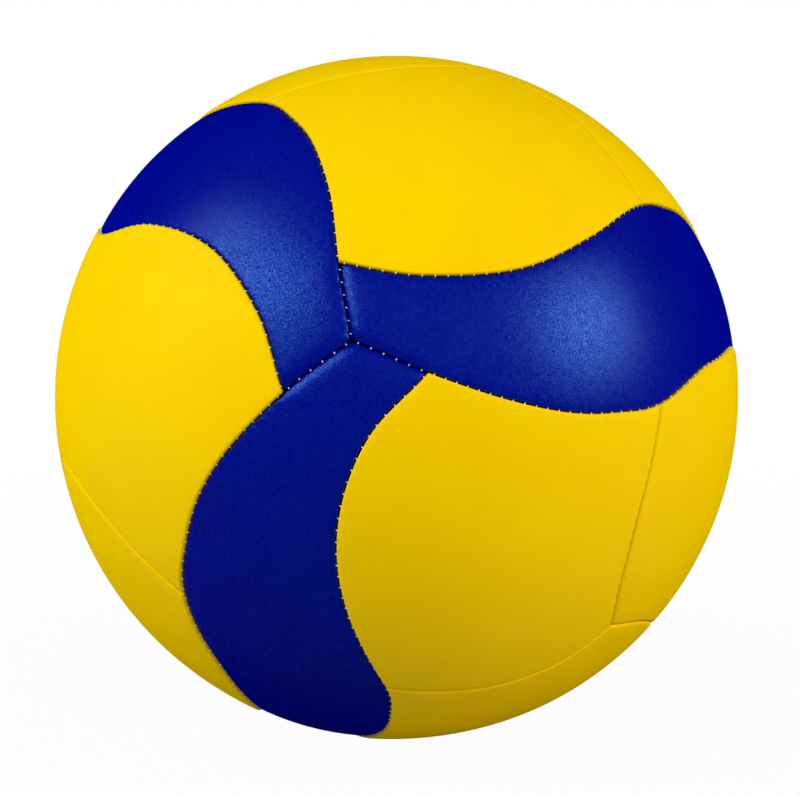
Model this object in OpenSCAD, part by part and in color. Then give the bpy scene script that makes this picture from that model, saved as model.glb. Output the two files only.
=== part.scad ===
// Full-size indoor volleyball with a sewn cover of 18 panels: six blue waves and twelve
// yellow panels. Each panel is a skin with turned-in edges over a foam pad and a cloth
// lining, and a rubber bladder with a needle valve holds them out.
// The origin is the centre of the ball, +Z is up and the front faces -Y. Lengths are in mm.

/* [Ball] */
// Outside diameter of the inflated ball
ball_d = 210; // [170:1:260]
// Turn of the panel pattern about X, in degrees
turn_x = 127.5; // [-180:0.5:180]
// Turn of the panel pattern about Y, in degrees
turn_y = -22.5; // [-180:0.5:180]
// Turn of the panel pattern about Z, in degrees
turn_z = -39; // [-180:0.5:180]

/* [Cover] */
// Thickness of the synthetic leather skin
skin_t = 0.8; // [0.5:0.1:1.4]
// Thickness of the foam pad under the skin
foam_t = 2.2; // [1.2:0.1:4]
// Thickness of the cloth lining under the foam
lining_t = 0.5; // [0.3:0.1:1]
// Glue line between two layers
glue_t = 0.05; // [0.02:0.01:0.1]

/* [Panels] */
// Angle between a wave's middle line and its edge where it is widest, in degrees
wave_angle = 17.5; // [13:0.5:19]
// Gap between two neighbouring skins
seam_gap = 0.2; // [0.1:0.05:0.4]
// Depth of the groove along a seam
groove_depth = 1.5; // [0.6:0.1:2.4]
// Width over which a skin rolls down into the groove
roll_w = 4.5; // [2:0.1:7]

/* [Bladder] */
// Wall of the rubber bladder
bladder_t = 0.8; // [0.5:0.1:1.5]
// Gap between the bladder and the lining
bladder_gap = 0.1; // [0.05:0.05:0.3]

/* [Valve] */
// Diameter of the valve neck that shows in the cover
neck_d = 9; // [7.5:0.1:12]
// Gap round the neck where it passes through the cover and the bladder
neck_gap = 0.25; // [0.1:0.05:0.5]
// How far the valve's mouth lies below the skin
neck_recess = 0.7; // [0.2:0.1:1.5]
// Diameter of the valve's flange inside the bladder
flange_d = 27; // [20:0.5:36]
// Thickness of the flange
flange_t = 1.2; // [0.8:0.1:2]
// Diameter of the patch that strengthens the bladder round the valve
patch_d = 38; // [28:0.5:48]
// Thickness of the patch
patch_t = 0.6; // [0.4:0.1:1.2]
// Diameter of the valve body below the flange
body_d = 10.5; // [9:0.1:14]
// Length of the valve body below the flange
body_l = 8; // [5:0.1:14]
// Diameter of the plug's stem
plug_d = 4.6; // [4:0.1:6]
// Diameter of the plug's head and of its collar
head_d = 6.4; // [5.6:0.1:7]
// Thickness of the plug's head
head_t = 1.4; // [1:0.1:2]
// Height of the collar that locks the plug in its seat
collar_h = 1.6; // [1:0.1:2.2]
// How far the plug's tip stands out of the valve body
tip_l = 3; // [1.5:0.1:5]
// Clearance round the plug in its seat
plug_gap = 0.05; // [0.02:0.01:0.1]
// Diameter of the needle bore
needle_d = 2; // [1.6:0.1:2.4]
// Length of the needle bore below its mouth
needle_l = 9; // [6:0.5:11]
// Width of the slit that closes behind the needle
slit_w = 0.3; // [0.2:0.05:0.5]

/* [Hidden] */
blue_count = 6;
yellow_count = 12;
function numbered(name, count) = [for (i = [1:count]) str(name, "_", i)];
$fn = 96;

// Radii of the layers, from the outside in
ball_r = ball_d / 2;
foam_r = ball_r - skin_t - glue_t;
lining_r = foam_r - foam_t - glue_t;
cover_in_r = lining_r - lining_t;
bladder_r = cover_in_r - bladder_gap;
bladder_in_r = bladder_r - bladder_t;
patch_r = bladder_in_r - glue_t;
flange_r = patch_r - patch_t - glue_t;
body_r = flange_r - flange_t;

// Heights on the valve's axis, from the ball's centre
mouth_z = ball_r - neck_recess;
needle_z = mouth_z - needle_l;
body_z = body_r - body_l;
tip_z = body_z - tip_l;
collar_z = flange_r - collar_h / 2;
neck_hole_d = neck_d + 2 * neck_gap;

// How far a cutting cone passes the ball, and how far a straight cut passes what it cuts
cone_share = 1.3;
overrun = 1;

// A skin's roll into the groove, and the steeper roll of the pad and the space under it:
// shares of the roll's width and of the groove's depth
roll_shares = [[0, 1], [0.3, 0.3], [1, -0.15]];
pad_roll_shares = [[0, 1], [0.6, -0.15]];

// Straight steps between two knots of a seam
seam_steps = 2;
// Angle from the middle of a wave to the corner where three seams meet
corner_angle = acos(1 / sqrt(3));
// Knots of a wave's edge: shares of the corner angle along the wave, and of its own angle
start_shares = [[-0.77, 0.405], [-0.51, 0.32], [-0.225, 0.555]];
fork_shares = [0.075, 0.955];
middle_shares = [[0.255, 0.995], [0.44, 0.935], [0.62, 0.74]];
join_shares = [0.82, 0.395];
// Knots of the seam between two yellow panels: shares of the corner angle, along and out
branch_shares = [[0.099, 0.455], [0.123, 0.64], [0.102, 0.835]];

// The blue panel that holds the valve, counted from 0
valve_panel = 5;

// A point of the unit ball, at an angle along the wave round +X and an angle out to its side
function on_wave(along, out) =
    cos(out) * cos(along) * [1, 0, 0]
    + cos(out) * sin(along) * [0, -1, -1] / sqrt(2)
    + sin(out) * [0, 1, -1] / sqrt(2);
function edge_knot(share) = on_wave(share[0] * corner_angle, share[1] * wave_angle);
function branch_knot(share) = on_wave(share[0] * corner_angle, share[1] * corner_angle);

function unit(v) = v / norm(v);
function reversed(list) = [for (i = [len(list) - 1:-1:0]) list[i]];
function without_first(list) = [for (i = [1:len(list) - 1]) list[i]];

// The pattern's symmetry: a half turn about X, and the third turn that takes a seam's far
// end to the place where the next seam starts
function half_turned(points) = [for (p = points) [p[0], -p[1], -p[2]]];
function third_turned(points) = [for (p = points) [-p[2], p[0], -p[1]]];

// A smooth curve on the unit ball through knots
function blended(a, b, c, d, t) =
    b + (c - a) * t / 2
    + (2 * a - 5 * b + 4 * c - d) * t ^ 2 / 2
    + (3 * b - a - 3 * c + d) * t ^ 3 / 2;
function smooth(knots) = concat(
    [
        for (i = [0:len(knots) - 2], s = [0:seam_steps - 1])
        unit(blended(
            knots[max(i - 1, 0)],
            knots[i],
            knots[i + 1],
            knots[min(i + 2, len(knots) - 1)],
            s / seam_steps
        ))
    ],
    [knots[len(knots) - 1]]
);
function stretch(points, first, last) = [for (i = [first:last]) points[i]];

// One edge of a wave, from the place where it starts on the next wave to the corner
join_knot = edge_knot(join_shares);
edge_knots = concat(
    third_turned([join_knot]),
    [for (share = start_shares) edge_knot(share)],
    [edge_knot(fork_shares)],
    [for (share = middle_shares) edge_knot(share)],
    [join_knot, on_wave(corner_angle, 0)]
);
edge_line = smooth(edge_knots);
fork_at = (len(start_shares) + 1) * seam_steps;
join_at = fork_at + (len(middle_shares) + 1) * seam_steps;
edge_start = stretch(edge_line, 0, fork_at);
edge_middle = stretch(edge_line, fork_at, join_at);
edge_end = stretch(edge_line, join_at, len(edge_line) - 1);

// The seam between two yellow panels, from the wave's edge to the far corner
branch_line = smooth(concat(
    [edge_knot(fork_shares)],
    [for (share = branch_shares) branch_knot(share)],
    [on_wave(0, corner_angle)]
));

// Outlines of the two panels, each from two rails with the same number of points
function closed(rail_a, rail_b) =
    concat(rail_a, reversed(stretch(rail_b, 1, len(rail_b) - 2)));
wave_rail = concat(reversed(third_turned(edge_end)), without_first(edge_line));
blue_outline = closed(reversed(half_turned(wave_rail)), wave_rail);
yellow_outline = closed(
    concat(edge_start, without_first(branch_line)),
    concat(
        third_turned(reversed(edge_middle)),
        without_first(third_turned(branch_line))
    )
);

// An outline drawn in by a distance along the ball's surface, with mitred corners
function side_of(outline, i) =
    unit(cross(outline[i], outline[(i + 1) % len(outline)]));
function drawn_in(outline, inset) = [
    for (i = [0:len(outline) - 1])
    let (
        before = side_of(outline, (i + len(outline) - 1) % len(outline)),
        after = side_of(outline, i),
        mitre = (before + after) / (1 + before * after)
    )
    unit(outline[i] + mitre * inset / ball_r)
];

// A solid from the ball's centre out through an outline. Each ring is an inset and a radius,
// and a ladder between the two rails closes the last ring.
module panel_cone(outline, rings) {
    n = len(outline);
    last = len(rings) - 1;
    function at(ring, i) = 1 + ring * n + (i + n) % n;
    points = concat(
        [[0, 0, 0]],
        [for (ring = rings, p = drawn_in(outline, ring[0])) p * ring[1]]
    );
    base = [for (i = [0:n - 1]) [0, at(0, i), at(0, i + 1)]];
    wall_a = [
        for (r = [0:1:last - 1], i = [0:n - 1])
        [at(r, i), at(r + 1, i), at(r, i + 1)]
    ];
    wall_b = [
        for (r = [0:1:last - 1], i = [0:n - 1])
        [at(r, i + 1), at(r + 1, i), at(r + 1, i + 1)]
    ];
    cap_a = [for (i = [0:n / 2 - 2]) [at(last, i), at(last, -i - 1), at(last, i + 1)]];
    cap_b = [for (i = [1:n / 2 - 1]) [at(last, i), at(last, -i), at(last, -i - 1)]];
    polyhedron(points, concat(base, wall_a, wall_b, cap_a, cap_b));
}

// The rings of a cone whose edge rolls down from a radius, and those of a straight-sided one
function rolled(shares, inset, r) = concat(
    [for (s = shares) [inset + s[0] * roll_w, r - s[1] * groove_depth]],
    [[inset + shares[len(shares) - 1][0] * roll_w, ball_r * cone_share]]
);
function straight(inset) = [[inset, ball_r * cone_share]];

// One layer of a panel: what a cone cuts out of a hollow ball
module layer(outline, outer_r, inner_r, rings) {
    intersection() {
        difference() {
            sphere(r = outer_r);
            sphere(r = inner_r);
        }
        panel_cone(outline, rings);
    }
}

// How far the edge of the skin, of the space in it and of the layers below lies from a seam
edge_inset = seam_gap / 2;
hem_inset = edge_inset + skin_t;
pad_inset = hem_inset + glue_t;

// The skin of a panel: rolled down at its edges and turned in as deep as the lining
module skin(outline) {
    difference() {
        layer(outline, ball_r, cover_in_r, rolled(roll_shares, edge_inset, ball_r));
        intersection() {
            sphere(r = ball_r - skin_t);
            panel_cone(outline, rolled(pad_roll_shares, hem_inset, ball_r - skin_t));
        }
    }
}

module foam(outline) {
    layer(outline, foam_r, foam_r - foam_t, rolled(pad_roll_shares, pad_inset, foam_r));
}

module lining(outline) {
    layer(outline, lining_r, cover_in_r, straight(pad_inset));
}

// Places of the panels in the pattern, and of the pattern in the ball
module place_blue(i) {
    rotate([turn_x, turn_y, turn_z])
        rotate(a = 120 * (i % 3), v = [1, 1, 1])
            rotate([0, 180 * floor(i / 3), 0])
                children();
}

module place_yellow(i) {
    rotate([turn_x, turn_y, turn_z])
        rotate(a = 120 * (i % 3), v = [1, 1, 1])
            rotate([180 * (floor(i / 3) % 2), 180 * floor(i / 6), 0])
                children();
}

// The valve's own frame: its axis is +Z, out of the ball, from the ball's centre
module along_valve() {
    rotate([0, 90, 0]) children();
}

// A panel of the valve's wave, with the hole for the neck
module pierced(i) {
    difference() {
        children();
        if (i == valve_panel) {
            along_valve() cylinder(d = neck_hole_d, h = ball_r + overrun);
        }
    }
}

module blue_cover(i) {
    color("mediumblue") place_blue(i) pierced(i) skin(blue_outline);
}

module blue_foam(i) {
    color("gainsboro") place_blue(i) pierced(i) foam(blue_outline);
}

module blue_lining(i) {
    color("white") place_blue(i) pierced(i) lining(blue_outline);
}

module yellow_cover(i) {
    color("gold") place_yellow(i) skin(yellow_outline);
}

module yellow_foam(i) {
    color("gainsboro") place_yellow(i) foam(yellow_outline);
}

module yellow_lining(i) {
    color("white") place_yellow(i) lining(yellow_outline);
}

// A dished disc that follows the ball's curve, with a hole in its middle
module dished_ring(outer_r, inner_r, rim_d, hole_d) {
    intersection() {
        difference() {
            sphere(r = outer_r);
            sphere(r = inner_r);
            cylinder(d = hole_d, h = outer_r + overrun);
        }
        cylinder(d = rim_d, h = outer_r + overrun);
    }
}

module bladder() {
    color("dimgray") place_blue(valve_panel) along_valve() difference() {
        sphere(r = bladder_r);
        sphere(r = bladder_in_r);
        cylinder(d = neck_hole_d, h = ball_r);
    }
}

module valve_patch() {
    color("darkslategray") place_blue(valve_panel) along_valve()
        dished_ring(patch_r, patch_r - patch_t, patch_d, neck_hole_d);
}

// The plug's outside, grown by a gap for its seat: head, stem and the collar that locks it
module plug_form(gap) {
    rise = collar_h / 2 + gap;
    translate([0, 0, mouth_z - head_t - gap])
        cylinder(d = head_d + 2 * gap, h = head_t + 2 * gap);
    translate([0, 0, body_z - gap])
        cylinder(d = plug_d + 2 * gap, h = mouth_z - body_z + 2 * gap);
    translate([0, 0, collar_z - rise])
        cylinder(d1 = plug_d + 2 * gap, d2 = head_d + 2 * gap, h = rise);
    translate([0, 0, collar_z])
        cylinder(d1 = head_d + 2 * gap, d2 = plug_d + 2 * gap, h = rise);
}

module valve_body() {
    color("black") place_blue(valve_panel) along_valve() difference() {
        union() {
            dished_ring(flange_r, body_r, flange_d, plug_d);
            translate([0, 0, body_z]) cylinder(d = body_d, h = body_l);
            translate([0, 0, body_z]) cylinder(d = neck_d, h = mouth_z - body_z);
        }
        plug_form(plug_gap);
    }
}

module valve_plug() {
    color("dimgray") place_blue(valve_panel) along_valve() difference() {
        union() {
            plug_form(0);
            translate([0, 0, tip_z])
                cylinder(d1 = needle_d, d2 = plug_d, h = tip_l);
        }
        translate([0, 0, needle_z]) cylinder(d = needle_d, h = needle_l + overrun);
        translate([-slit_w / 2, -needle_d / 2, tip_z - overrun])
            cube([slit_w, needle_d, needle_z - tip_z + 2 * overrun]);
    }
}

for (i = [0:blue_count - 1]) {
    blue_cover(i);
    blue_foam(i);
    blue_lining(i);
}
for (i = [0:yellow_count - 1]) {
    yellow_cover(i);
    yellow_foam(i);
    yellow_lining(i);
}
bladder();
valve_patch();
valve_body();
valve_plug();
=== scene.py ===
import math

import bpy
import numpy as np
from mathutils import Matrix, Vector
from mathutils.geometry import delaunay_2d_cdt


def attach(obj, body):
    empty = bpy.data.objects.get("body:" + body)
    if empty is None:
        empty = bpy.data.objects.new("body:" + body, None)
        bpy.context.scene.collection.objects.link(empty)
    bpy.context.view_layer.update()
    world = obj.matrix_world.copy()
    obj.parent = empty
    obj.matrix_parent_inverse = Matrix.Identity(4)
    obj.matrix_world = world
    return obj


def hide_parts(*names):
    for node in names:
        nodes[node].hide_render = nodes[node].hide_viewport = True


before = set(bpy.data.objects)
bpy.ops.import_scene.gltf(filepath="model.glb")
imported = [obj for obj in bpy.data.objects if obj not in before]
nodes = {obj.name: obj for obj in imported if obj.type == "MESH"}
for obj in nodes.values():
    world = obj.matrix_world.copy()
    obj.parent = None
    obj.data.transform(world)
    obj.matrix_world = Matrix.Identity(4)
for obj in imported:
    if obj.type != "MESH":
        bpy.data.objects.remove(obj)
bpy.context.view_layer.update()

# A millimetre in metres, and sizes of the ball in millimetres, as in the CAD
MM = 0.001
BALL_R = 105.0
SKIN_T = 0.8
COVER_IN_R = 101.4

# The camera: its tilt, its distance in metres and its directions
CAMERA_TILT = math.radians(10)
CAMERA_DISTANCE = 0.7023
CAMERA_RIGHT = Vector((1, 0, 0))
CAMERA_UP = Vector((0, math.sin(CAMERA_TILT), math.cos(CAMERA_TILT)))
CAMERA_BACK = Vector((0, -math.cos(CAMERA_TILT), math.sin(CAMERA_TILT)))

# Its lens and sensor in millimetres, and in pixels the image's width and its shift
CAMERA_LENS = 101.66
SENSOR_WIDTH = 36.0
IMAGE_WIDTH = 800
IMAGE_SHIFT_X = 3.6
IMAGE_SHIFT_Y = -0.4

# The pattern, as in the CAD: its turn, and the knots of its two seam curves as shares
PATTERN_TURN = (127.5, -22.5, -39.0)
CORNER = math.acos(1 / math.sqrt(3))
WAVE = math.radians(17.5)
START_SHARES = [(-0.77, 0.405), (-0.51, 0.32), (-0.225, 0.555)]
FORK_SHARES = (0.075, 0.955)
MIDDLE_SHARES = [(0.255, 0.995), (0.44, 0.935), (0.62, 0.74)]
JOIN_SHARES = (0.82, 0.395)
BRANCH_SHARES = [(0.099, 0.455), (0.123, 0.64), (0.102, 0.835)]
CURVE_STEPS = 80
BLUE_COUNT = 6
YELLOW_COUNT = 12
VALVE_PANEL = 5

# Sewing: distance between stitches, mesh columns for each stitch, the column that the
# stitch sits on, and how far each column is pulled in, as a share
STITCH_PITCH = 3.5
COLUMNS = 4
STITCH_COLUMN = 2
PULL_SHARES = np.array([0.0, 0.5, 1.0, 0.5])
PUCKER_DEPTH = 0.28
PUCKER_REACH = 1.1

# A skin's edge for each kind of seam: how far the skin stays from the seam's middle line,
# width and depth of its roll, how far it rises (or sinks) towards the seam, and how far
# below the roll the two hems meet
BLUE_BLUE = (0.3, 4.0, 1.2, -0.1, 0.4)
BLUE_YELLOW = (0.18, 0.65, 0.7, -0.3, 0.9)
YELLOW_BLUE = (0.16, 0.5, 0.55, 0.4, 0.9)
YELLOW_YELLOW = (0.13, 0.8, 0.9, 0.1, 1.5)
RISE_REACH = 12.0
PILLOW_DEPTH = 0.15
PILLOW_REACH = 4.0

# Mesh columns over which one kind of edge passes into the next, and the power by which
# the depths of two edges join at a corner
EDGE_BLEND = 9
JOIN_POWER = 3

# A blue strip's corners are drawn in a little more, and every hem closes the seam below.
# The hem's foot ends HEM_EDGE past the first inner row, and from there the inner face lies
# HEM_CLEAR deeper than the skin is thick
CORNER_INSET = 0.4
CORNER_REACH = 1.6
HEM_INSET = 0.06
HEM_EDGE = 0.1
HEM_CLEAR = 0.5

# Rows of points along a panel's edge, as distances from it, and the spacing of the points
# that fill the rest, for the skin's outer face and its inner face
RING_STEPS = [0.07, 0.22, 0.45, 0.75, 1.1, 1.5, 2.1, 3.0, 4.6]
FILL_SPACING = 2.7
INNER_STEPS = [0.8, 1.05, 2.0, 3.2]
INNER_SPACING = 6.0

# A row's point stays where its own side is KEEP_SHARE of the row's distance away or more,
# and other sides are farther by RING_CLEAR. Two neighbours are linked if no point is missing
# between them, or if they are nearer than LINK_REACH times the row's step in columns
KEEP_SHARE = 0.97
RING_CLEAR = 0.3
LINK_REACH = 2.2

# The fill keeps clear of the innermost row by a distance and a share of its spacing, and of
# the hole by another share. Its rows are as far apart as in a net of equal triangles
FILL_CLEAR = 0.2
FILL_SHARE = 0.55
HOLE_FILL_SHARE = 0.5
FILL_ROW_SHARE = 0.866

# How far from a panel's middle its fill may reach, and how near the ball's pole a middle
# may lie before another helping direction is taken, as cosines
FILL_LIMIT = 0.15
NEAR_POLE = 0.9

# A distance beyond any on the ball, a square too small to count, and the planar mesh's
# tolerance
FAR = 1e9
TINY = 1e-18
MERGE = 1e-9

# Points that are measured against a line at one time
CHUNK = 1500

# Slow unevenness of the blown-up ball: its depth, and waves as direction and phase
UNEVEN_DEPTH = 0.02
UNEVEN_WAVES = [
    ((9, 4, 0), 1.0),
    ((0, 11, -6), 2.0),
    ((7, 0, 13), 0.5),
]

# Hand sewing moves the seams a little here and there. Each row is a place on the side that
# faces the camera, as millimetres right and up, and the seams' shift there, right and up
SEWN_SHIFTS = [
    (-13.0, 15.5, 1.2, -0.3),
    (7.0, 7.5, 1.2, -0.7),
    (-1.0, -2.0, 0.3, -0.3),
    (-30.0, 2.5, -0.6, -0.8),
    (-37.5, -4.5, 0.3, -0.2),
    (-19.0, 55.0, 0.7, 0.0),
    (-27.0, 74.0, 0.5, 0.4),
    (-12.0, 34.0, -0.2, -0.6),
    (12.0, 32.5, 0.0, -0.3),
    (40.0, 37.0, 0.0, -0.7),
    (28.0, 0.0, 0.0, -0.3),
    (55.0, -2.0, 0.0, -0.6),
    (76.0, 0.0, 0.2, -0.4),
    (73.0, 57.0, 0.5, -1.8),
    (84.0, 51.5, -0.3, -1.4),
    (64.0, 68.0, -3.5, -1.5),
    (54.0, 80.0, -5.0, -1.0),
    (40.0, 91.0, -5.0, -3.0),
    (24.0, 96.0, 0.0, -3.5),
    (95.0, 14.5, 0.0, -1.7),
    (103.0, 14.0, 0.0, -1.2),
    (-16.0, -30.5, 0.6, 0.0),
    (-12.0, -66.0, 0.6, 0.3),
    (-3.0, -86.0, 0.8, 0.0),
    (-2.5, -94.0, 0.8, 0.0),
    (-54.0, -68.5, -1.4, -0.8),
    (-41.0, -89.5, -0.5, 0.0),
    (-83.0, 49.0, 0.2, -1.3),
    (-70.0, 50.0, 0.0, -0.4),
]
SEWN_REACH = 15.0

# Places, as above, where the thread is drawn in deeper and hardly shows
DEEP_PLACES = [
    (-56.5, 86.0),
    (-50.0, 86.5),
    (-42.0, 86.0),
    (-32.0, 82.0),
    (-24.0, 73.0),
    (74.0, 57.0),
    (84.0, 53.0),
    (90.0, 46.0),
]
DEEP_REACH = 9.0
DEEP_BY = 0.9

# The round hole for the valve: radius, and insets and depth of its punched edge
HOLE_R = 4.75
HOLE_POINTS = 72
HOLE_INSETS = [0.12, 0.3, 0.6, 1.1, 2.0]
HOLE_ROLL_W = 0.8
HOLE_ROLL_DEPTH = 0.4
HOLE_DISH_DEPTH = 0.3
HOLE_DISH_REACH = 3.0

# A stitch: an arched tube of thread, thinner at its ends, that lies aslant on the seam
THREAD_R = 0.2
THREAD_END_SHARE = 0.55
STITCH_RISE = 0.25
STITCH_SKEW = 0.35
STITCH_RINGS = 7
STITCH_SIDES = 6

# The stitches of each kind of seam: how far to one side they lie, how deep, and their span
STITCH_BLUE_YELLOW = (0.12, 0.82, 0.85)
STITCH_BLUE_BLUE = (0.0, 1.8, 0.45)
STITCH_YELLOW_YELLOW = (0.0, 1.9, 0.6)


# The seams, as points on the unit ball

def unit(v):
    return v / np.linalg.norm(v, axis=-1, keepdims=True)


def on_wave(along, out):
    return (
        math.cos(out) * math.cos(along) * np.array([1.0, 0.0, 0.0])
        + math.cos(out) * math.sin(along) * np.array([0.0, -1.0, -1.0]) / math.sqrt(2)
        + math.sin(out) * np.array([0.0, 1.0, -1.0]) / math.sqrt(2)
    )


def edge_knot(share):
    return on_wave(share[0] * CORNER, share[1] * WAVE)


def branch_knot(share):
    return on_wave(share[0] * CORNER, share[1] * CORNER)


def half_turned(points):
    return points * np.array([1.0, -1.0, -1.0])


def third_turned(points):
    return np.stack([-points[..., 2], points[..., 0], -points[..., 1]], axis=-1)


def smooth(knots):
    """A smooth curve through knots, with CURVE_STEPS steps between two of them."""
    last = len(knots) - 1
    t = (np.arange(CURVE_STEPS) / CURVE_STEPS)[:, None]
    parts = []
    for i in range(last):
        a, b = knots[max(i - 1, 0)], knots[i]
        c, d = knots[i + 1], knots[min(i + 2, last)]
        parts.append(
            b + (c - a) * t / 2
            + (2 * a - 5 * b + 4 * c - d) * t ** 2 / 2
            + (3 * b - a - 3 * c + d) * t ** 3 / 2
        )
    parts.append(knots[last][None, :])
    return unit(np.concatenate(parts))


def evenly(points):
    """The same curve in equal steps, COLUMNS of them to each stitch."""
    steps = np.linalg.norm(np.diff(points, axis=0), axis=1)
    run = np.concatenate([[0.0], np.cumsum(steps)])
    stitches = max(2, round(run[-1] * BALL_R / STITCH_PITCH))
    at = np.linspace(0.0, run[-1], stitches * COLUMNS + 1)
    return unit(np.stack([np.interp(at, run, points[:, k]) for k in range(3)], axis=1))


def seam_curves():
    """The stretches of a blue strip's edge, and the seam between two yellow panels."""
    join = edge_knot(JOIN_SHARES)
    knots = [third_turned(join)]
    knots += [edge_knot(s) for s in START_SHARES]
    fork_index = len(knots)
    knots.append(edge_knot(FORK_SHARES))
    knots += [edge_knot(s) for s in MIDDLE_SHARES]
    join_index = len(knots)
    knots += [join, on_wave(CORNER, 0.0)]
    line = smooth(knots)
    fork, stop = fork_index * CURVE_STEPS, join_index * CURVE_STEPS
    branch = [edge_knot(FORK_SHARES)]
    branch += [branch_knot(s) for s in BRANCH_SHARES]
    branch.append(on_wave(0.0, CORNER))
    return {
        "start": evenly(line[:fork + 1]),
        "middle": evenly(line[fork:stop + 1]),
        "end": evenly(line[stop:]),
        "branch": evenly(smooth(branch)),
    }


SEAMS = seam_curves()


# The outlines of the two panels

def blended(values, window):
    """A running mean along one side, so that one kind of edge passes into the next."""
    half = window // 2
    padded = np.concatenate([values[:1].repeat(half, 0), values, values[-1:].repeat(half, 0)])
    return np.stack([padded[k:k + len(values)] for k in range(window)]).mean(axis=0)


def outline_from(sides):
    """A closed outline from sides, each a list of runs of points with the kind of edge."""
    points, side_of, phase, edge = [], [], [], []
    for number, runs in enumerate(sides):
        kinds = []
        for run, kind in runs:
            points.append(run[:-1])
            side_of += [number] * (len(run) - 1)
            phase += [k % COLUMNS for k in range(len(run) - 1)]
            kinds += [kind] * (len(run) - 1)
        edge.append(blended(np.array(kinds), EDGE_BLEND))
    return {
        "points": np.concatenate(points),
        "side": np.array(side_of),
        "phase": np.array(phase),
        "edge": np.concatenate(edge),
    }


def corners_of(outline):
    """Which points of an outline are its corners, where a side starts."""
    return outline["side"] != np.roll(outline["side"], 1)


def corners_drawn_in(outline):
    """The outline with its edge drawn in further near each corner."""
    points, edge = outline["points"], outline["edge"].copy()
    corners = points[corners_of(outline)]
    away = np.arccos(np.clip(points @ corners.T, -1, 1)).min(axis=1) * BALL_R
    edge[:, 0] += CORNER_INSET * np.exp(-(away / CORNER_REACH) ** 2)
    return dict(outline, edge=edge)


def hem_outline(outline):
    """The same outline at the foot of the hem, where it closes the seam."""
    edge = outline["edge"].copy()
    edge[:, 0] = HEM_INSET
    return dict(outline, edge=edge)


def blue_outline():
    start, middle, end = SEAMS["start"], SEAMS["middle"], SEAMS["end"]
    back = [(end[::-1], BLUE_BLUE), (middle[::-1], BLUE_YELLOW), (start[::-1], BLUE_YELLOW)]
    return corners_drawn_in(outline_from([
        [(half_turned(run), kind) for run, kind in back],
        [(half_turned(third_turned(end)), BLUE_BLUE)],
        back,
        [(third_turned(end), BLUE_BLUE)],
    ]))


def yellow_outline():
    branch = SEAMS["branch"]
    return outline_from([
        [(SEAMS["start"], YELLOW_BLUE)],
        [(branch, YELLOW_YELLOW)],
        [(third_turned(branch)[::-1], YELLOW_YELLOW)],
        [(third_turned(SEAMS["middle"]), YELLOW_BLUE)],
    ])


def drawn_in(points, inset):
    """The outline moved in by an inset in millimetres for each point, with mitred corners."""
    after = unit(np.cross(points, np.roll(points, -1, axis=0)))
    before = np.roll(after, 1, axis=0)
    mitre = (before + after) / (1 + np.sum(before * after, axis=1))[:, None]
    return unit(points + mitre * inset[:, None] / BALL_R)


def distance_to(points, line, closed=False):
    """Distance in millimetres from each point to a line on the ball, and the nearest step."""
    a = line if closed else line[:-1]
    b = np.roll(line, -1, axis=0) if closed else line[1:]
    ab = b - a
    length2 = np.maximum(np.sum(ab * ab, axis=1), TINY)
    best, nearest = np.zeros(len(points)), np.zeros(len(points), int)
    for first in range(0, len(points), CHUNK):
        p = points[first:first + CHUNK]
        dots = p @ ab.T - np.sum(a * ab, axis=1)
        t = np.clip(dots / length2, 0.0, 1.0)
        near2 = 2 - 2 * (p @ a.T) - 2 * t * dots + t * t * length2
        least = near2.argmin(axis=1)
        nearest[first:first + CHUNK] = least
        best[first:first + CHUNK] = near2[np.arange(len(p)), least]
    return np.sqrt(np.maximum(best, 0.0)) * BALL_R, nearest


def side_lines(outline):
    """The open line of each side, from corner to corner, and its edge values."""
    points, side_of = outline["points"], outline["side"]
    lines = []
    for number in range(side_of.max() + 1):
        index = np.flatnonzero(side_of == number)
        last = (index[-1] + 1) % len(points)
        lines.append((points[np.append(index, last)], outline["edge"][index]))
    return lines


# The nets of points and triangles over a panel

class Net:
    """Rings of points over a panel, with the links between points that triangles must keep."""

    def __init__(self):
        self.rings = []
        self.phases = []
        self.links = []
        self.total = 0

    def add(self, ring, phase=None, linked=None):
        """Adds a ring; linked says which of its points are linked to the next one."""
        at = self.total + np.arange(len(ring))
        pairs = np.stack([at, np.roll(at, -1)], axis=1)
        self.rings.append(ring)
        self.phases.append(np.zeros(len(ring), int) if phase is None else phase)
        self.links.append(pairs if linked is None else pairs[linked])
        self.total += len(ring)


def flattened(points, centre):
    """Places in a plane, by the projection that keeps small shapes."""
    off_pole = abs(centre[2]) < NEAR_POLE
    helper = np.array([0.0, 0.0, 1.0] if off_pole else [1.0, 0.0, 0.0])
    right = unit(np.cross(helper, centre))
    up = np.cross(centre, right)
    scale = 1 + points @ centre
    return np.stack([points @ right / scale, points @ up / scale], axis=1)


def inside(points, polygon):
    """Which 2D points lie inside a closed 2D polygon."""
    x, y = points[:, :1], points[:, 1:]
    x0, y0 = polygon[:, 0][None, :], polygon[:, 1][None, :]
    x1, y1 = np.roll(x0, -1, axis=1), np.roll(y0, -1, axis=1)
    spans = (y0 > y) != (y1 > y)
    rise = np.where(y1 == y0, 1.0, y1 - y0)
    hits = spans & (x < (x1 - x0) * (y - y0) / rise + x0)
    return hits.sum(axis=1) % 2 == 1


def even_points(spacing):
    """Points spread evenly over the unit ball, on a spiral."""
    count = int(4 * math.pi * BALL_R ** 2 / (FILL_ROW_SHARE * spacing ** 2))
    k = np.arange(count) + 0.5
    z = 1 - 2 * k / count
    turn = math.pi * (3 - math.sqrt(5)) * k
    r = np.sqrt(1 - z * z)
    return np.stack([r * np.cos(turn), r * np.sin(turn), z], axis=1)


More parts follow.
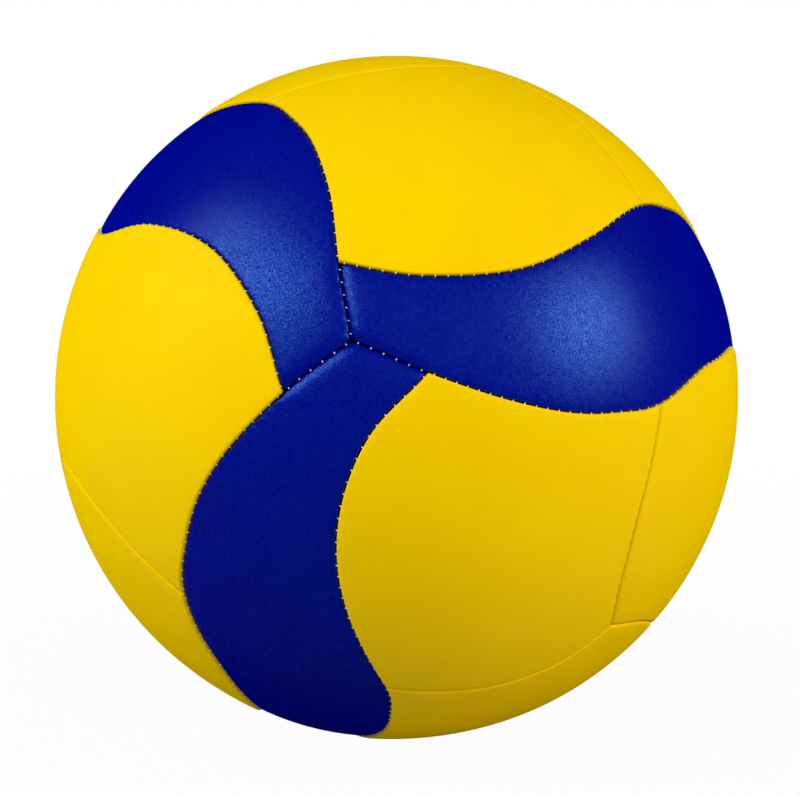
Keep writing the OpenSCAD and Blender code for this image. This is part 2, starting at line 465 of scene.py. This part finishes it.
def hole_ring(centre, radius):
    """A ring of points round the hole's middle."""
    helper = np.array([0.0, 0.0, 1.0])
    right = unit(np.cross(helper, centre))
    up = np.cross(centre, right)
    turn = 2 * math.pi * np.arange(HOLE_POINTS) / HOLE_POINTS
    angle = radius / BALL_R
    return (
        math.cos(angle) * centre
        + math.sin(angle) * (np.cos(turn)[:, None] * right + np.sin(turn)[:, None] * up)
    )


def add_row(net, outline, lines, step, every):
    """Adds the row of points at a distance from the panel's edge, where it has room."""
    points, side_of = outline["points"], outline["side"]
    inset = outline["edge"][:, 0] + step
    row = drawn_in(points, inset)
    own_side = (np.arange(len(row)), side_of)
    away = np.stack([distance_to(row, line)[0] for line, _ in lines], axis=1)
    others = away.copy()
    others[own_side] = FAR
    keep = (away[own_side] > KEEP_SHARE * inset) & (others.min(axis=1) > inset + RING_CLEAR)
    keep &= np.arange(len(row)) % every == 0
    keep |= corners_of(outline) & (away.min(axis=1) > KEEP_SHARE * inset)
    index = np.flatnonzero(keep)
    after = np.roll(index, -1)
    near = (after - index) % len(row) <= every
    near |= np.linalg.norm(row[after] - row[index], axis=1) * BALL_R < LINK_REACH * every
    net.add(row[index], outline["phase"][index], near)


def fill_points(outline, centre, flat_edge, last_step, spacing, hole, hole_insets):
    """Even points over the rest of a panel, clear of its rows and of its hole."""
    fill = even_points(spacing)
    fill = fill[fill @ centre > FILL_LIMIT]
    fill = fill[inside(flattened(fill, centre), flat_edge)]
    away = distance_to(fill, outline["points"], True)[0]
    fill = fill[away > last_step + FILL_CLEAR + FILL_SHARE * spacing]
    if hole is not None:
        reach = math.cos((HOLE_R + hole_insets[-1] + HOLE_FILL_SHARE * spacing) / BALL_R)
        fill = fill[fill @ hole < reach]
    return fill


def triangulated(flat, links):
    """Triangles over points in a plane, with every link as an edge."""
    made = delaunay_2d_cdt(
        [Vector((float(x), float(y))) for x, y in flat],
        [(int(a), int(b)) for a, b in links],
        [], 0, MERGE,
    )
    source = [found[0] if found else -1 for found in made[3]]
    triangles = np.array([[source[v] for v in face] for face in made[2]])
    return triangles[(triangles >= 0).all(axis=1)]


def panel_net(outline, steps, every, spacing, hole, hole_insets):
    """Points and triangles over a panel, with its edge first, then its hole's edge.

    Returns points, triangles, stitch phase and the lengths of the edge and hole rings.
    """
    centre = unit(outline["points"].mean(axis=0))
    lines = side_lines(outline)
    net = Net()
    edge = drawn_in(outline["points"], outline["edge"][:, 0])
    net.add(edge, outline["phase"])
    edge_count, hole_count = len(edge), 0
    if hole is not None:
        hole_count = HOLE_POINTS
        for inset in [0.0, *hole_insets]:
            net.add(hole_ring(hole, HOLE_R + inset))
    for step in steps:
        add_row(net, outline, lines, step, every)
    flat_edge = flattened(edge, centre)
    fill = fill_points(outline, centre, flat_edge, steps[-1], spacing, hole, hole_insets)
    net.add(fill, linked=np.zeros(len(fill), bool))
    places = np.concatenate(net.rings)
    flat = flattened(places, centre)
    triangles = triangulated(flat, np.concatenate(net.links))
    # A triangle with all corners on the panel's edge may lie outside it, and one with all
    # corners on the hole's edge covers the hole
    on_edge = (triangles < edge_count).all(axis=1)
    past_edge = (triangles >= edge_count).all(axis=1)
    on_hole = past_edge & (triangles < edge_count + hole_count).all(axis=1)
    good = ~on_hole
    good[on_edge] = inside(flat[triangles].mean(axis=1)[on_edge], flat_edge)
    return places, triangles[good], np.concatenate(net.phases), edge_count, hole_count


# A skin's solid form

def roll(distance, width, depth):
    """Depth below the ball of a rounded edge, at a distance from it."""
    share = 1 - np.clip(distance / width, 0.0, 1.0)
    return depth * (1 - np.sqrt(np.maximum(1 - share ** 2, 0.0)))


def outer_depth(places, phase, outline, hole):
    """How far the skin's outer face lies below the ball's full radius, in millimetres."""
    sunk, lift = np.zeros(len(places)), np.zeros(len(places))
    nearest = np.full(len(places), FAR)
    for line, edge in side_lines(outline):
        away, at = distance_to(places, line)
        inset, width, drop, rise, _ = edge[at].T
        nearest = np.minimum(nearest, away)
        depth = roll(np.maximum(away - inset, 0.0), width, drop)
        depth += PILLOW_DEPTH * np.exp(-away / PILLOW_REACH)
        sunk += depth ** JOIN_POWER
        lift += (rise * np.exp(-away / RISE_REACH)) ** JOIN_POWER
    depth = sunk ** (1 / JOIN_POWER) - np.cbrt(lift)
    depth += PUCKER_DEPTH * PULL_SHARES[phase] * np.exp(-(nearest / PUCKER_REACH) ** 2)
    if hole is not None:
        away = np.arccos(np.clip(places @ hole, -1, 1)) * BALL_R - HOLE_R
        away = np.maximum(away, 0.0)
        depth += roll(away, HOLE_ROLL_W, HOLE_ROLL_DEPTH)
        depth += HOLE_DISH_DEPTH * np.exp(-(away / HOLE_DISH_REACH) ** 2)
    return depth


def inner_radius(places, outline):
    """Radius of the skin's inner face: turned in along the edge, then under the skin."""
    away, at = distance_to(places, outline["points"], True)
    inset, width, drop, _, _ = outline["edge"][at].T
    past_hem = away - inset - INNER_STEPS[0]
    under = BALL_R - SKIN_T - HEM_CLEAR - roll(np.maximum(past_hem, 0.0), width, drop)
    return np.where(past_hem < HEM_EDGE, COVER_IN_R, under)


def ring_walls(count, levels, backwards=False):
    """Walls down a closed ring of points, through levels given by their first points.

    A hole's ring turns the same way as the panel's edge, so its walls face backwards.
    """
    walls = []
    for i in range(count):
        a, b = i, (i + 1) % count
        if backwards:
            a, b = b, a
        for upper, lower in zip(levels, levels[1:]):
            walls += [
                [upper + a, lower + a, upper + b],
                [upper + b, lower + a, lower + b],
            ]
    return walls


def panel_solid(outline, hole=None):
    """A closed skin in the panel's own frame: points in millimetres, and triangles."""
    hem = hem_outline(outline)
    outer = panel_net(outline, RING_STEPS, 1, FILL_SPACING, hole, HOLE_INSETS)
    inner = panel_net(hem, INNER_STEPS, COLUMNS, INNER_SPACING, hole, HOLE_INSETS[-1:])
    places, triangles, phase, edge_count, hole_count = outer
    top = places * (BALL_R - outer_depth(places, phase, outline, hole))[:, None]
    bottom = inner[0] * inner_radius(inner[0], hem)[:, None]
    if hole_count:
        # The hole is far from the seams, so its edge keeps its own radius
        rim = np.arange(edge_count, edge_count + hole_count)
        bottom[rim] = inner[0][rim] * (BALL_R - SKIN_T - HOLE_ROLL_DEPTH)
    # Between the two faces lies the line where the hems of a seam meet
    edge_radius = np.linalg.norm(top[:edge_count], axis=1)
    meeting = inner[0][:edge_count] * (edge_radius - outline["edge"][:, 4])[:, None]
    under_first = len(top)
    meeting_first = under_first + len(bottom)
    walls = ring_walls(edge_count, [0, meeting_first, under_first])
    walls += ring_walls(hole_count, [edge_count, under_first + edge_count], backwards=True)
    under = inner[1][:, ::-1] + under_first
    points = np.concatenate([top, bottom, meeting])
    return points, np.concatenate([triangles, walls, under])


# Placing the panels

# Parts of a turn, in degrees
THIRD = 120
HALF = 180


def turn_about(axis, degrees):
    return np.array(Matrix.Rotation(math.radians(degrees), 3, Vector(axis)))


PATTERN = (
    turn_about((0, 0, 1), PATTERN_TURN[2])
    @ turn_about((0, 1, 0), PATTERN_TURN[1])
    @ turn_about((1, 0, 0), PATTERN_TURN[0])
)


def blue_place(i):
    return (
        PATTERN
        @ turn_about((1, 1, 1), THIRD * (i % 3))
        @ turn_about((0, 1, 0), HALF * (i // 3))
    )


def yellow_place(i):
    return (
        PATTERN
        @ turn_about((1, 1, 1), THIRD * (i % 3))
        @ turn_about((0, 1, 0), HALF * (i // 6))
        @ turn_about((1, 0, 0), HALF * (i // 3 % 2))
    )


def mesh_object(name, points, triangles, material):
    """A smooth mesh object from points in millimetres, in the ball's frame."""
    mesh = bpy.data.meshes.new(name)
    mesh.vertices.add(len(points))
    mesh.vertices.foreach_set("co", (points * MM).astype(np.float32).ravel())
    mesh.loops.add(len(triangles) * 3)
    mesh.loops.foreach_set("vertex_index", triangles.astype(np.int32).ravel())
    mesh.polygons.add(len(triangles))
    mesh.polygons.foreach_set("loop_start", np.arange(0, len(triangles) * 3, 3, dtype=np.int32))
    mesh.polygons.foreach_set("use_smooth", np.ones(len(triangles), bool))
    mesh.update(calc_edges=True)
    mesh.validate()
    mesh.materials.append(material)
    item = bpy.data.objects.new(name, mesh)
    bpy.context.scene.collection.objects.link(item)
    return item


def nearness(start, across, above, reach):
    """How near points of the unit ball are to a place that faces the camera, from 1 to 0."""
    towards = math.sqrt(BALL_R ** 2 - across ** 2 - above ** 2)
    place = np.array(across * CAMERA_RIGHT + above * CAMERA_UP + towards * CAMERA_BACK) / BALL_R
    away = np.arccos(np.clip(start @ place, -1, 1)) * BALL_R
    return np.exp(-(away / reach) ** 2)[:, None]


def hand_sewn(points):
    """The points, moved along the ball by the unevenness of the sewing."""
    radius = np.linalg.norm(points, axis=1, keepdims=True)
    start = points / radius
    moved = start.copy()
    for across, above, shift_right, shift_up in SEWN_SHIFTS:
        shift = np.array(shift_right * CAMERA_RIGHT + shift_up * CAMERA_UP) / BALL_R
        moved += nearness(start, across, above, SEWN_REACH) * shift
    return unit(moved) * radius


def drawn_deeper(points):
    """The thread's points, sunk where it is drawn in deeper."""
    start = unit(points)
    share = sum(nearness(start, across, above, DEEP_REACH) for across, above in DEEP_PLACES)
    return points - start * DEEP_BY * np.minimum(share, 1.0)


def uneven(points):
    """Slow unevenness of the blown-up ball, as a depth in millimetres."""
    p = unit(points)
    waves = sum(np.sin(p @ np.array(direction) + phase) for direction, phase in UNEVEN_WAVES)
    return UNEVEN_DEPTH * (waves + len(UNEVEN_WAVES))


# Materials

# In metres: over how much depth the painted shade down in a seam fades in, and the height of
# full grain
PAINTED_SHADE_FADE = 0.0006
GRAIN_HEIGHT = 0.0001

# The leather's roughness varies from SHARPER below its value to DULLER above it, and the
# rubber's by DUST_SPREAD either way
SHARPER = 0.05
DULLER = 0.06
DUST_SPREAD = 0.08


def new_material(name):
    material = bpy.data.materials.new(name)
    material.use_nodes = True
    tree = material.node_tree
    shader = tree.nodes["Principled BSDF"]
    return material, tree, shader


def node(tree, kind, values=None, **settings):
    """A new node with its settings, and with values for its inputs."""
    made = tree.nodes.new(kind)
    for key, value in settings.items():
        setattr(made, key, value)
    for key, value in (values or {}).items():
        made.inputs[key].default_value = value
    return made


def object_coordinates(tree):
    return node(tree, "ShaderNodeTexCoord").outputs["Object"]


def distance_from_centre(tree, place):
    made = node(tree, "ShaderNodeVectorMath", operation="LENGTH")
    tree.links.new(place, made.inputs[0])
    return made.outputs["Value"]


def noise(tree, coordinates, scale, detail, roughness):
    made = node(
        tree, "ShaderNodeTexNoise",
        {"Scale": scale, "Detail": detail, "Roughness": roughness},
    )
    tree.links.new(coordinates, made.inputs["Vector"])
    return made.outputs["Fac"]


def cells(tree, coordinates, scale, feature="SMOOTH_F1"):
    made = node(tree, "ShaderNodeTexVoronoi", {"Scale": scale}, feature=feature)
    tree.links.new(coordinates, made.inputs["Vector"])
    return made.outputs["Distance"]


def ramp(tree, value, low, high, from_low=0.3, from_high=0.7):
    """Low where the value is below from_low, high where it is above from_high."""
    made = node(
        tree, "ShaderNodeMapRange",
        {"From Min": from_low, "From Max": from_high, "To Min": low, "To Max": high},
        interpolation_type="SMOOTHSTEP",
    )
    tree.links.new(value, made.inputs["Value"])
    return made.outputs["Result"]


def mixed_colour(tree, factor, first, second):
    """A mix of two colours; the second may also be the output of a node."""
    made = node(tree, "ShaderNodeMix", data_type="RGBA")
    made.inputs["A"].default_value = (*first, 1)
    if isinstance(second, tuple):
        made.inputs["B"].default_value = (*second, 1)
    else:
        tree.links.new(second, made.inputs["B"])
    tree.links.new(factor, made.inputs["Factor"])
    return made.outputs["Result"]


def sum_of(tree, first, second, share):
    """first + share * second"""
    made = node(tree, "ShaderNodeMath", {1: share}, operation="MULTIPLY_ADD")
    tree.links.new(second, made.inputs[0])
    tree.links.new(first, made.inputs[2])
    return made.outputs["Value"]


def product_of(tree, first, second):
    made = node(tree, "ShaderNodeMath", operation="MULTIPLY")
    tree.links.new(first, made.inputs[0])
    tree.links.new(second, made.inputs[1])
    return made.outputs["Value"]


def bumped(tree, shader, height, distance, strength):
    made = node(tree, "ShaderNodeBump", {"Distance": distance, "Strength": strength})
    tree.links.new(height, made.inputs["Height"])
    tree.links.new(made.outputs["Normal"], shader.inputs["Normal"])


def leather(name, colour, worn, painted_seam_shade, painted_shade_radius, roughness, grain, ior, shine, tint):
    """Synthetic leather: fine pebble grain, faint mottling, uneven gloss that fades aslant.

    Down in a seam, below the radius that is given, it fades to the seam colour that is given:
    painted shade in the seam's hollow.
    """
    material, tree, shader = new_material(name)
    place = object_coordinates(tree)
    mottle = noise(tree, place, scale=60.0, detail=4.0, roughness=0.6)
    tone = mixed_colour(tree, ramp(tree, mottle, low=0.0, high=1.0), colour, worn)
    # Painted shade: down in the seams, below a radius, the colour darkens to the seam colour
    unshaded_share = ramp(
        tree, distance_from_centre(tree, place), low=0.0, high=1.0,
        from_low=painted_shade_radius - PAINTED_SHADE_FADE, from_high=painted_shade_radius,
    )
    tree.links.new(mixed_colour(tree, unshaded_share, painted_seam_shade, tone), shader.inputs["Base Color"])

    gloss = noise(tree, place, scale=900.0, detail=2.0, roughness=0.5)
    tree.links.new(
        ramp(tree, gloss, low=roughness - SHARPER, high=roughness + DULLER),
        shader.inputs["Roughness"],
    )
    pebbles = cells(tree, place, scale=2600.0)
    pores = noise(tree, place, scale=4400.0, detail=2.0, roughness=0.6)
    height = sum_of(tree, pebbles, pores, share=0.5)
    bumped(tree, shader, height, distance=grain * GRAIN_HEIGHT, strength=1.0)

    shader.inputs["IOR"].default_value = ior
    shader.inputs["Specular Tint"].default_value = (*tint, 1)
    shader.inputs["Specular IOR Level"].default_value = shine
    aslant = node(tree, "ShaderNodeLayerWeight", {"Blend": 0.5}).outputs["Facing"]
    speck = noise(tree, place, scale=3300.0, detail=0.0, roughness=0.5)
    level = product_of(
        tree,
        ramp(tree, aslant, low=shine, high=0.0, from_low=0.2, from_high=0.7),
        ramp(tree, speck, low=0.2, high=1.8, from_low=0.42, from_high=0.58),
    )
    tree.links.new(level, shader.inputs["Specular IOR Level"])
    return material


def thread(name, colour, shade):
    """Twisted polyester thread."""
    material, tree, shader = new_material(name)
    place = object_coordinates(tree)
    fibres = noise(tree, place, scale=5200.0, detail=3.0, roughness=0.7)
    tone = mixed_colour(tree, ramp(tree, fibres, low=0.0, high=1.0), colour, shade)
    tree.links.new(tone, shader.inputs["Base Color"])
    bumped(tree, shader, fibres, distance=0.0001, strength=0.6)
    shader.inputs["Roughness"].default_value = 0.6
    return material


def rubber(name, colour, dusty, roughness):
    """Moulded rubber with faint dust and a fine matt texture."""
    material, tree, shader = new_material(name)
    place = object_coordinates(tree)
    dust = noise(tree, place, scale=220.0, detail=5.0, roughness=0.65)
    tone = mixed_colour(tree, ramp(tree, dust, low=0.0, high=1.0), colour, dusty)
    tree.links.new(tone, shader.inputs["Base Color"])
    tree.links.new(
        ramp(tree, dust, low=roughness - DUST_SPREAD, high=roughness + DUST_SPREAD),
        shader.inputs["Roughness"],
    )
    grit = noise(tree, place, scale=3200.0, detail=2.0, roughness=0.5)
    bumped(tree, shader, grit, distance=0.00005, strength=0.4)
    return material


def foam(name, colour, shade):
    """Closed-cell foam: small round cells."""
    material, tree, shader = new_material(name)
    place = object_coordinates(tree)
    pores = cells(tree, place, scale=1800.0, feature="F1")
    pore_share = ramp(tree, pores, low=0.0, high=1.0, from_low=0.1, from_high=0.8)
    tone = mixed_colour(tree, pore_share, colour, shade)
    tree.links.new(tone, shader.inputs["Base Color"])
    bumped(tree, shader, pores, distance=0.0002, strength=0.7)
    shader.inputs["Roughness"].default_value = 0.85
    return material


def yarns(tree, place, direction):
    made = node(
        tree, "ShaderNodeTexWave", {"Scale": 520.0, "Distortion": 0.6},
        bands_direction=direction,
    )
    tree.links.new(place, made.inputs["Vector"])
    return made.outputs["Fac"]


def cloth(name, colour, shade):
    """Plain woven cotton lining: two crossing sets of yarns."""
    material, tree, shader = new_material(name)
    place = object_coordinates(tree)
    height = sum_of(tree, yarns(tree, place, "X"), yarns(tree, place, "Z"), share=1.0)
    on_top = ramp(tree, height, low=0.0, high=1.0, from_low=0.2, from_high=1.8)
    tree.links.new(mixed_colour(tree, on_top, shade, colour), shader.inputs["Base Color"])
    bumped(tree, shader, height, distance=0.0001, strength=0.6)
    shader.inputs["Roughness"].default_value = 0.9
    return material


BLUE = leather(
    "blue_leather",
    colour=(0.0, 0.002, 0.262),
    worn=(0.0, 0.003, 0.285),
    # The seam colour, and the radius below which it shows: painted shade in the seams
    painted_seam_shade=(0.0, 0.0, 0.05),
    painted_shade_radius=0.1036,
    roughness=0.29,
    grain=0.5,
    ior=1.65,
    shine=0.9,
    tint=(0.1, 0.33, 1.0),
)
YELLOW = leather(
    "yellow_leather",
    colour=(0.95, 0.62, 0.0),
    worn=(0.97, 0.64, 0.0),
    # The seam colour, and the radius below which it shows: painted shade in the seams
    painted_seam_shade=(0.28, 0.14, 0.0),
    painted_shade_radius=0.1044,
    roughness=0.45,
    grain=0.4,
    ior=1.5,
    shine=0.2,
    tint=(1.0, 0.75, 0.03),
)
# The thread is white; the blue tint of both its colours is painted light, the cast the stitches
# take in the shade of the blue seams
THREAD = thread("white_thread", colour=(0.85, 0.9, 1.0), shade=(0.66, 0.72, 0.86))
FOAM = foam("pad_foam", colour=(0.07, 0.07, 0.075), shade=(0.03, 0.03, 0.032))
LINING = cloth("lining_cloth", colour=(0.85, 0.85, 0.83), shade=(0.6, 0.6, 0.58))
BLADDER = rubber(
    "bladder_rubber", colour=(0.03, 0.03, 0.032), dusty=(0.06, 0.06, 0.06), roughness=0.6,
)
VALVE = rubber(
    "valve_rubber", colour=(0.012, 0.012, 0.013), dusty=(0.03, 0.03, 0.03), roughness=0.5,
)
PLUG = rubber(
    "plug_rubber", colour=(0.05, 0.05, 0.052), dusty=(0.08, 0.08, 0.08), roughness=0.55,
)


def dress_nodes():
    """Gives each CAD node that stays its own material."""
    finish = {"foam": FOAM, "lining": LINING}
    single = {
        "bladder": BLADDER, "valve_patch": BLADDER, "valve_body": VALVE, "valve_plug": PLUG,
    }
    for name, item in nodes.items():
        material = single.get(name) or finish.get(name.split("_")[1])
        if material:
            for slot in item.material_slots:
                slot.material = material


# The skins in their places

def add_skin(cover, solid, place, material):
    """Puts a skin in the place of a CAD cover, with the sewing's and the ball's unevenness."""
    points, triangles = solid
    placed = hand_sewn(points @ place.T)
    placed = placed - unit(placed) * uneven(placed)[:, None]
    item = mesh_object(cover.replace("cover", "skin"), placed, triangles, material)
    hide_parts(cover)
    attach(item, "root")


def add_skins():
    valve_axis = np.array([1.0, 0.0, 0.0])
    outline = blue_outline()
    plain, pierced = panel_solid(outline), panel_solid(outline, valve_axis)
    for i in range(BLUE_COUNT):
        solid = pierced if i == VALVE_PANEL else plain
        add_skin(f"blue_cover_{i + 1}", solid, blue_place(i), BLUE)
    solid = panel_solid(yellow_outline())
    for i in range(YELLOW_COUNT):
        add_skin(f"yellow_cover_{i + 1}", solid, yellow_place(i), YELLOW)


# The stitches

def stitch_form(span):
    """One stitch: an arched tube along y, rising along z, closed at both ends."""
    points, triangles = [], []
    for r in range(STITCH_RINGS):
        t = r / (STITCH_RINGS - 1) * 2 - 1
        y = t * span / 2
        z = STITCH_RISE * (1 - t * t)
        middle_share = (1 - t * t) ** 0.5
        thick = THREAD_R * (THREAD_END_SHARE + (1 - THREAD_END_SHARE) * middle_share)
        slope = math.atan2(-2 * STITCH_RISE * t, span / 2)
        for k in range(STITCH_SIDES):
            turn = 2 * math.pi * k / STITCH_SIDES
            x, lift = thick * math.cos(turn), thick * math.sin(turn)
            points.append((x, y - lift * math.sin(slope), z + lift * math.cos(slope)))
    for r in range(STITCH_RINGS - 1):
        for k in range(STITCH_SIDES):
            a, b = r * STITCH_SIDES + k, r * STITCH_SIDES + (k + 1) % STITCH_SIDES
            c, d = a + STITCH_SIDES, b + STITCH_SIDES
            triangles += [(a, c, b), (b, c, d)]
    last = (STITCH_RINGS - 1) * STITCH_SIDES
    for k in range(1, STITCH_SIDES - 1):
        triangles.append((0, k, k + 1))
        triangles.append((last, last + k + 1, last + k))
    return np.array(points), np.array(triangles)


def stitch_places(seams, images, aside, depth):
    """Frames of the stitches on all images of the seams: origin, along, across and out."""
    frames = []
    for seam in seams:
        at = np.arange(STITCH_COLUMN, len(seam) - 1, COLUMNS)
        for image in images:
            line = image(seam)
            out = line[at]
            along = unit(line[at + 1] - line[at - 1])
            across = np.cross(out, along)
            origin = unit(out + across * aside / BALL_R) * (BALL_R - depth)
            frames.append((origin, along, across, out))
    return [np.concatenate(parts) for parts in zip(*frames)]


def add_stitches(name, seams, images, row):
    """One object with the stitches of one kind of seam."""
    aside, depth, span = row
    form, faces = stitch_form(span)
    origin, along, across, out = stitch_places(seams, images, aside, depth)
    skewed = unit(across + along * STITCH_SKEW)
    side = np.cross(skewed, out)
    points = (
        origin[:, None, :]
        + form[None, :, 0:1] * side[:, None, :]
        + form[None, :, 1:2] * skewed[:, None, :]
        + form[None, :, 2:3] * out[:, None, :]
    ).reshape(-1, 3)
    offsets = (np.arange(len(origin)) * len(form))[:, None, None]
    triangles = (faces[None, :, :] + offsets).reshape(-1, 3)
    item = mesh_object(name, hand_sewn(drawn_deeper(points)), triangles, THREAD)
    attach(item, "root")


def turned(place, half=False):
    """A function that turns points of the pattern's frame to one panel's place."""
    def image(points):
        return (half_turned(points) if half else points) @ place.T
    return image


def add_thread():
    waves = [turned(blue_place(i), half) for i in range(BLUE_COUNT) for half in (False, True)]
    branches = [turned(yellow_place(i)) for i in range(YELLOW_COUNT)]
    against_yellow = [SEAMS["start"], SEAMS["middle"]]
    add_stitches("thread_blue_yellow", against_yellow, waves, STITCH_BLUE_YELLOW)
    add_stitches("thread_blue_blue", [SEAMS["end"]], waves, STITCH_BLUE_BLUE)
    add_stitches("thread_yellow_yellow", [SEAMS["branch"]], branches, STITCH_YELLOW_YELLOW)


# Floor, light and camera, in metres and watts

WHITE = (1.0, 1.0, 1.0)
COOL = (0.96, 1.0, 0.98)
WARM = (1.0, 0.965, 0.95)
AMBIENT = 0.16
FLOOR_HALF = 6.0
FLOOR_GREY = 0.45
CLIP_NEAR = 0.01
CLIP_FAR = 20.0

# The camera sees the floor as a mix of white and its lit surface. White's share is
# SHADE_LEAST up to SHADE_NEAR from the ball's middle, and all of it from SHADE_FAR on
SHADE_LEAST = 0.965
SHADE_NEAR = 0.13
SHADE_FAR = 0.5


def add_world():
    """A world that lights the ball faintly and is white where the camera sees it."""
    world = bpy.data.worlds.new("studio")
    bpy.context.scene.world = world
    world.cycles_visibility.glossy = False
    world.use_nodes = True
    tree = world.node_tree
    tree.nodes.clear()
    ambient = node(tree, "ShaderNodeBackground", {"Color": (*WHITE, 1), "Strength": AMBIENT})
    white = node(tree, "ShaderNodeBackground", {"Color": (*WHITE, 1), "Strength": 1.0})
    path = node(tree, "ShaderNodeLightPath")
    mix = node(tree, "ShaderNodeMixShader")
    output = node(tree, "ShaderNodeOutputWorld")
    tree.links.new(path.outputs["Is Camera Ray"], mix.inputs["Fac"])
    tree.links.new(ambient.outputs["Background"], mix.inputs[1])
    tree.links.new(white.outputs["Background"], mix.inputs[2])
    tree.links.new(mix.outputs["Shader"], output.inputs["Surface"])


def floor_material():
    """Pale floor. The camera sees it white, with a little of the ball's shadow close to it."""
    material, tree, shader = new_material("pale_floor")
    shader.inputs["Base Color"].default_value = (FLOOR_GREY, FLOOR_GREY, FLOOR_GREY, 1)
    shader.inputs["Roughness"].default_value = 0.9
    shader.inputs["Specular IOR Level"].default_value = 0.1
    white = node(tree, "ShaderNodeEmission", {"Strength": 1.0})
    away = distance_from_centre(tree, object_coordinates(tree))
    share = ramp(
        tree, away, low=SHADE_LEAST, high=1.0, from_low=SHADE_NEAR, from_high=SHADE_FAR,
    )
    path = node(tree, "ShaderNodeLightPath")
    seen = product_of(tree, path.outputs["Is Camera Ray"], share)
    mix = node(tree, "ShaderNodeMixShader")
    tree.links.new(seen, mix.inputs["Fac"])
    tree.links.new(shader.outputs["BSDF"], mix.inputs[1])
    tree.links.new(white.outputs["Emission"], mix.inputs[2])
    tree.links.new(mix.outputs["Shader"], tree.nodes["Material Output"].inputs["Surface"])
    return material


def add_floor():
    level = -BALL_R * MM
    turns = [(-1, -1), (1, -1), (1, 1), (-1, 1)]
    corners = [(x * FLOOR_HALF, y * FLOOR_HALF, level) for x, y in turns]
    mesh = bpy.data.meshes.new("floor")
    mesh.from_pydata(corners, [], [(0, 1, 2, 3)])
    mesh.materials.append(floor_material())
    item = bpy.data.objects.new("floor", mesh)
    item.visible_glossy = False
    bpy.context.scene.collection.objects.link(item)


def facing_ball(item, place, distance):
    """Links an object, put out from the ball's centre towards place and facing the ball."""
    item.location = place * distance
    item.rotation_mode = "QUATERNION"
    item.rotation_quaternion = (-place).to_track_quat("-Z", "Y")
    bpy.context.scene.collection.objects.link(item)


def add_softbox(name, direction, distance, width, height, power, colour, shines=True):
    """A rectangular lamp that faces the ball; direction is right, up and back of the camera.

    A fill lamp doesn't show in the leather's gloss, so for it shines is False.
    """
    right, up, back = direction
    place = (CAMERA_RIGHT * right + CAMERA_UP * up + CAMERA_BACK * back).normalized()
    data = bpy.data.lights.new(name, "AREA")
    data.shape = "RECTANGLE"
    data.size, data.size_y = width, height
    data.energy = power
    data.color = colour
    item = bpy.data.objects.new(name, data)
    item.visible_glossy = shines
    facing_ball(item, place, distance)


def add_lamps():
    add_softbox(
        "key", direction=(-0.713, 0.53, 0.459), distance=1.0,
        width=0.907, height=0.451, power=3.5, colour=COOL,
    )
    add_softbox(
        "side", direction=(0.846, 0.328, 0.42), distance=1.0,
        width=0.47, height=0.43, power=2.65, colour=WARM,
    )
    add_softbox(
        "side_fill", direction=(0.9, 0.3, 0.35), distance=1.1,
        width=0.42, height=0.38, power=2.3, colour=WARM, shines=False,
    )
    add_softbox(
        "left_fill", direction=(-0.9, 0.3, 0.3), distance=1.1,
        width=0.5, height=0.6, power=4.6, colour=COOL, shines=False,
    )
    add_softbox(
        "front_fill", direction=(0.25, 0.35, 0.9), distance=1.4,
        width=1.2, height=1.0, power=7.7, colour=WARM, shines=False,
    )
    add_softbox(
        "back", direction=(0.0, 0.05, -1.0), distance=1.4,
        width=0.8, height=0.8, power=16.0, colour=WHITE,
    )


def add_camera():
    data = bpy.data.cameras.new("camera")
    data.lens = CAMERA_LENS
    data.sensor_width = SENSOR_WIDTH
    data.shift_x = IMAGE_SHIFT_X / IMAGE_WIDTH
    data.shift_y = IMAGE_SHIFT_Y / IMAGE_WIDTH
    data.clip_start = CLIP_NEAR
    data.clip_end = CLIP_FAR
    item = bpy.data.objects.new("camera", data)
    facing_ball(item, CAMERA_BACK, CAMERA_DISTANCE)
    bpy.context.scene.camera = item


bpy.context.scene.view_settings.view_transform = "Standard"
dress_nodes()
add_skins()
add_thread()
add_world()
add_floor()
add_lamps()
add_camera()
